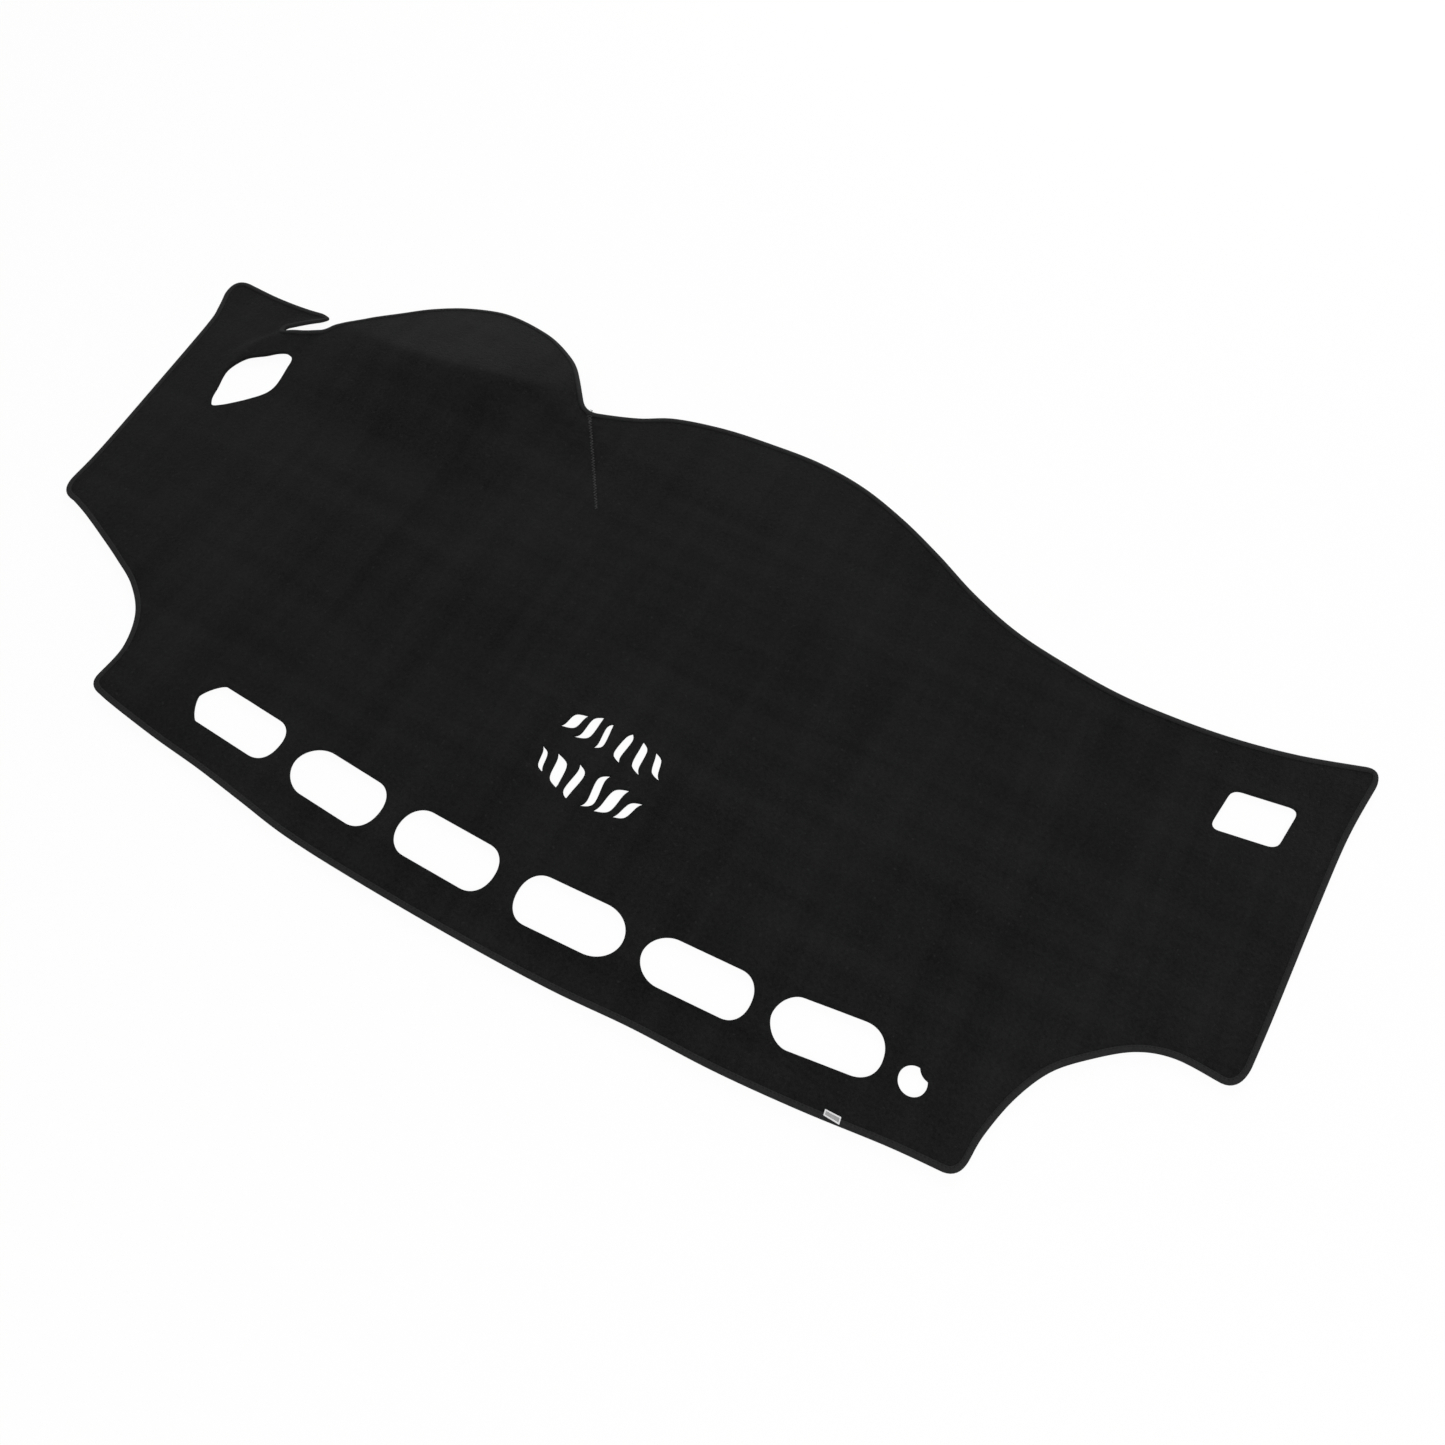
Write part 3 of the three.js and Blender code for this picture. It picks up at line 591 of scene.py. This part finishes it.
# The tape's colour is its own dark tone plus painted sheen: it is made lighter than the cloth to stand in
# for the light that its rounded edge catches at a grazing view.
tape_look_with_painted_sheen = cloth_material("binding", dark=(0.007, 0.007, 0.0072), light=(0.028, 0.028, 0.029),
                           rough=0.95, sheen=0.0, bump=0.35, patches=0.2, streaks=0.2, nap=0.9,
                           specks=0.0)
binding = mesh_object("bound_edge", *carried(TAPE_SECTION), tape_look_with_painted_sheen)
tape_nodes = sorted(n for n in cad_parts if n.endswith("binding"))
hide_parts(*tape_nodes)
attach(binding, "root")

STITCH_PITCH, STITCH_LENGTH, STITCH_IN, STITCH_UP = 3.6, 2.7, 4.7, 4.0
THREAD_RADIUS = 0.28
TAG_X, TAG_CLEAR = 366.0, 11.0      # the tag's middle, and the half length without thread there


def stitches(centres, ways, length, radius, lift):
    """Short threads: each a six-sided spindle from end to end, arched by lift in its middle. A point is
    centre + way x length x share + ring, with the radius falling to a third at the ends. The result is in
    metres."""
    shares = np.array([-0.5, -0.3, 0.0, 0.3, 0.5])
    fat = np.array([0.3, 0.85, 1.0, 0.85, 0.3]) * radius
    arch = np.array([-0.9, 0.1, 0.5, 0.1, -0.9]) * lift
    turn = np.arange(6) * np.pi / 3
    side = np.column_stack([-ways[:, 1], ways[:, 0], np.zeros(len(ways))])
    way = np.column_stack([ways, np.zeros(len(ways))])
    up = np.array([0, 0, 1.0])
    spine = centres[:, None, :] + way[:, None, :] * (shares * length)[:, None] + up * arch[:, None]
    ring = (side[:, None, None, :] * np.cos(turn)[:, None] + up * np.sin(turn)[:, None])
    verts = (spine[:, :, None, :] + ring * fat[:, None, None]) * MM
    rows = len(shares)
    r, k = np.meshgrid(np.arange(rows - 1), np.arange(6), indexing="ij")
    quad = np.stack([r * 6 + k, r * 6 + (k + 1) % 6, (r + 1) * 6 + (k + 1) % 6, (r + 1) * 6 + k], -1)
    first = np.arange(len(centres))[:, None, None] * rows * 6
    sides = (quad.reshape(1, -1, 4) + first).reshape(-1, 4).tolist()
    caps = np.concatenate([np.arange(6)[None, ::-1], (rows - 1) * 6 + np.arange(6)[None]])
    ends = (caps[None] + first).reshape(-1, 6).tolist()
    return verts.reshape(-1, 3), sides + ends


seam_line = even(inset(STITCH_IN), STITCH_PITCH)
seam_way = np.roll(seam_line, -1, axis=0) - np.roll(seam_line, 1, axis=0)
seam_way /= np.linalg.norm(seam_way, axis=1, keepdims=True)
windscreen_edge = seam_line[:, 1] <= 0
sewn = (np.abs(seam_line[:, 0] - TAG_X) > TAG_CLEAR) | ~windscreen_edge
seam_line, seam_way = seam_line[sewn], seam_way[sewn]
thread_look = cloth_material("thread", dark=(0.006, 0.006, 0.006), light=(0.024, 0.024, 0.025),
                             rough=0.85, sheen=0.0, bump=0.1, patches=0.0, streaks=0.0, nap=0.3,
                             specks=0.0)
centres = np.column_stack([seam_line + PLAN_SHIFT, underside(seam_line) + STITCH_UP])
edge_thread = mesh_object("edge_stitches", *stitches(centres, seam_way, length=STITCH_LENGTH,
                                                     radius=THREAD_RADIUS, lift=0.25), thread_look)
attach(edge_thread, "root")

# Dart stitches
# The dart is closed from below and overcast on top with a narrow zigzag of grey thread, which runs in two
# lines near the notch and sinks into the pile towards the dart's tip.
ZIGZAG_PITCH, ZIGZAG_LENGTH, ZIGZAG_RADIUS = 1.9, 4.4, 0.36
ZIGZAG_FROM, ZIGZAG_SPLIT, ZIGZAG_TO = 6, 22, 140       # along the dart, from the notch
ZIGZAG_SPREAD = 0.16                                    # how fast the two lines part towards the notch

joined = np.arange(ZIGZAG_SPLIT, ZIGZAG_TO, ZIGZAG_PITCH)
parted = np.arange(ZIGZAG_FROM, ZIGZAG_SPLIT, ZIGZAG_PITCH)
aside = (ZIGZAG_SPLIT - parted) * ZIGZAG_SPREAD
zigzag_run = np.concatenate([joined, parted, parted])
zigzag_off = np.concatenate([np.zeros(len(joined)), aside, -aside])
zigzag_mid = DART_FROM + dart_way * zigzag_run[:, None] + dart_side * zigzag_off[:, None]
lean = np.where(np.arange(len(zigzag_run)) % 2, 1.0, -1.0)
zigzag_way = dart_way * 0.42 + dart_side * lean[:, None] * 0.9
zigzag_way /= np.linalg.norm(zigzag_way, axis=1, keepdims=True)
sunk = dart_depth(zigzag_mid) * 0.25 + 0.1 * smoothstep(zigzag_run, 60, 136)
dart_look = cloth_material("dart_thread", dark=(0.012, 0.012, 0.012), light=(0.105, 0.105, 0.105),
                           rough=0.9, sheen=0.03, bump=0.2, patches=0.0, streaks=0.0, nap=2.6,
                           specks=0.0)
centres = np.column_stack([zigzag_mid + PLAN_SHIFT, underside(zigzag_mid) + CLOTH_THICKNESS - sunk])
dart_thread = mesh_object("dart_stitches", *stitches(centres, zigzag_way, length=ZIGZAG_LENGTH,
                                                     radius=ZIGZAG_RADIUS, lift=0.25), dart_look)
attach(dart_thread, "root")

# Sewn tag
# A blank strip of light woven tape, laid over the bound edge at the windscreen side and sewn down: smooth
# in the middle, with its four sides turned under into slightly thicker, whiter borders.
TAG_WIDTH, TAG_DEPTH = 14.8, 6.0
TAG_OUTER = (3.6, 1.2)      # how far its outer side lies in from the mat's edge, at its left and right end
TAG_INNER = (9.0, 7.6)      # and its inner side
TAG_BORDER, TAG_RISE = 1.15, 0.25
TAG_BOTTOM, TAG_TOP = 0.1, 0.5
# Height of the band under it over the cloth's lower face, by the distance in from the mat's edge
BAND_IN = [0, 0.5, 1.5, 3.0, 4.6, 6.0, 7.2, 9.2]
BAND_UP = [2.8, 3.6, 4.05, 4.18, 4.1, 3.95, 3.5, 3.25]


def tag_mesh():
    """Sheet over two parameters: u across the tag and v from its outer to its inner side. It follows the
    band's rounded top and drops to the cloth behind it, and the borders stand higher by the tag's rise."""
    k = np.argmin(np.abs(outline[:, 0] - TAG_X) + (outline[:, 1] > 0) * 1000)
    way = np.roll(outline, -2, axis=0)[k] - np.roll(outline, 2, axis=0)[k]
    way /= np.linalg.norm(way)
    inward = np.array([-way[1], way[0]])
    u, v = np.meshgrid(np.linspace(0, 1, 41), np.linspace(0, 1, 25))
    outer = TAG_OUTER[0] + (TAG_OUTER[1] - TAG_OUTER[0]) * u
    inner = TAG_INNER[0] + (TAG_INNER[1] - TAG_INNER[0]) * u
    inwards = (1 - v) * outer + v * inner
    side = np.minimum(np.minimum(u, 1 - u) * TAG_WIDTH, np.minimum(v, 1 - v) * TAG_DEPTH)
    border = TAG_RISE * (1 - smoothstep(side, 1.0, 1.3)) * smoothstep(side, -0.2, 0.3)
    plan = outline[k] + way * ((u - 0.5) * TAG_WIDTH)[..., None] + inward * inwards[..., None]
    plan = plan.reshape(-1, 2)
    base = underside(plan) + np.interp(inwards, BAND_IN, BAND_UP).ravel()
    skins = [placed(plan, base + TAG_TOP + border.ravel()), placed(plan, base + TAG_BOTTOM)]
    rows, cols = u.shape
    r, c = np.meshgrid(np.arange(rows - 1), np.arange(cols - 1), indexing="ij")
    first = (r * cols + c).ravel()
    top = np.column_stack([first, first + 1, first + cols + 1, first + cols])
    n = rows * cols
    walls = rim_walls(np.vstack([np.column_stack([top[:, i], top[:, (i + 1) % 4]]) for i in range(4)]), n)
    turned_under = side.ravel()[top].mean(axis=1) < TAG_BORDER
    kinds = np.concatenate([turned_under, turned_under, np.ones(len(walls), bool)]).astype(np.int32)
    return np.vstack(skins), np.vstack([top, top[:, ::-1] + n, walls]).tolist(), kinds


tag_look = cloth_material("tag", dark=(0.20, 0.20, 0.20), light=(0.46, 0.46, 0.46), rough=0.85,
                          sheen=0.03, bump=0.3, patches=0.0, streaks=0.3, nap=0.5, specks=0.0)
border_look = cloth_material("tag_border", dark=(0.62, 0.62, 0.62), light=(0.86, 0.86, 0.86), rough=0.85,
                             sheen=0.03, bump=0.3, patches=0.0, streaks=0.3, nap=0.5, specks=0.0)
tag_verts, tag_faces, tag_kinds = tag_mesh()
tag = mesh_object("blank_tag", tag_verts, tag_faces, tag_look)
tag.data.materials.append(border_look)
tag.data.polygons.foreach_set("material_index", tag_kinds)
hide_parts("sewn_tag")
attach(tag, "root")

# Floor and light
# A white floor and backdrop that show as plain white to the camera. The floor still keeps a faint shadow
# of the mat. One soft lamp stands past the seat edge and one past the windscreen edge.
FLOOR_HALF, FLOOR_Z = 6.0, -0.0004
FLOOR_CORNERS = [(x * FLOOR_HALF, y * FLOOR_HALF, FLOOR_Z) for x, y in ((-1, -1), (1, -1), (1, 1), (-1, 1))]
floor_mesh = bpy.data.meshes.new("floor")
floor_mesh.from_pydata(FLOOR_CORNERS, [], [(0, 1, 2, 3)])
floor = bpy.data.objects.new("floor", floor_mesh)
scene.collection.objects.link(floor)
floor_look = bpy.data.materials.new("floor")
floor_look.use_nodes = True
tree = floor_look.node_tree
tree.nodes.clear()
ray = node(tree, "ShaderNodeLightPath")
matte = node(tree, "ShaderNodeBsdfDiffuse", Color=(0.9, 0.9, 0.9, 1))
bright = node(tree, "ShaderNodeEmission", Color=(1, 1, 1, 1), Strength=1.0)
share = node(tree, "ShaderNodeMath", operation="MULTIPLY")
share.inputs[1].default_value = 0.94
seen = node(tree, "ShaderNodeMath", operation="ADD", use_clamp=True)
mixed = node(tree, "ShaderNodeMixShader")
out = node(tree, "ShaderNodeOutputMaterial")
tree.links.new(ray.outputs["Is Camera Ray"], seen.inputs[0])
tree.links.new(ray.outputs["Is Glossy Ray"], seen.inputs[1])
tree.links.new(seen.outputs[0], share.inputs[0])
tree.links.new(share.outputs[0], mixed.inputs["Fac"])
tree.links.new(matte.outputs[0], mixed.inputs[1])
tree.links.new(bright.outputs[0], mixed.inputs[2])
tree.links.new(mixed.outputs[0], out.inputs["Surface"])
floor_mesh.materials.append(floor_look)

world = bpy.data.worlds.new("studio")
scene.world = world
world.use_nodes = True
sky = world.node_tree
sky.nodes["Background"].inputs["Color"].default_value = (1, 1, 1, 1)
sky.nodes["Background"].inputs["Strength"].default_value = 0.42
backdrop = node(sky, "ShaderNodeBackground", Color=(1, 1, 1, 1), Strength=1.0)
sky_ray, sky_share, sky_mix = (node(sky, kind) for kind in
                               ("ShaderNodeLightPath", "ShaderNodeMath", "ShaderNodeMixShader"))
sky_share.operation, sky_share.use_clamp = "ADD", True
sky.links.new(sky_ray.outputs["Is Camera Ray"], sky_share.inputs[0])
sky.links.new(sky_ray.outputs["Is Glossy Ray"], sky_share.inputs[1])
sky.links.new(sky_share.outputs[0], sky_mix.inputs["Fac"])
sky.links.new(sky.nodes["Background"].outputs[0], sky_mix.inputs[1])
sky.links.new(backdrop.outputs[0], sky_mix.inputs[2])
sky.links.new(sky_mix.outputs[0], sky.nodes["World Output"].inputs["Surface"])


def softbox(name, place, size, power):
    """Square lamp at a place in metres, turned to face the origin."""
    data = bpy.data.lights.new(name, "AREA")
    data.size = size
    data.energy = power
    lamp = bpy.data.objects.new(name, data)
    x, y, z = place
    lamp.location = place
    lamp.rotation_euler = (math.atan2(math.hypot(x, y), z), 0, math.atan2(x, -y))
    scene.collection.objects.link(lamp)


softbox("seat_side", (-0.3, 3.4, 1.5), size=1.2, power=84)
softbox("windscreen_side", (1.7, -1.9, 2.2), size=1.6, power=52)
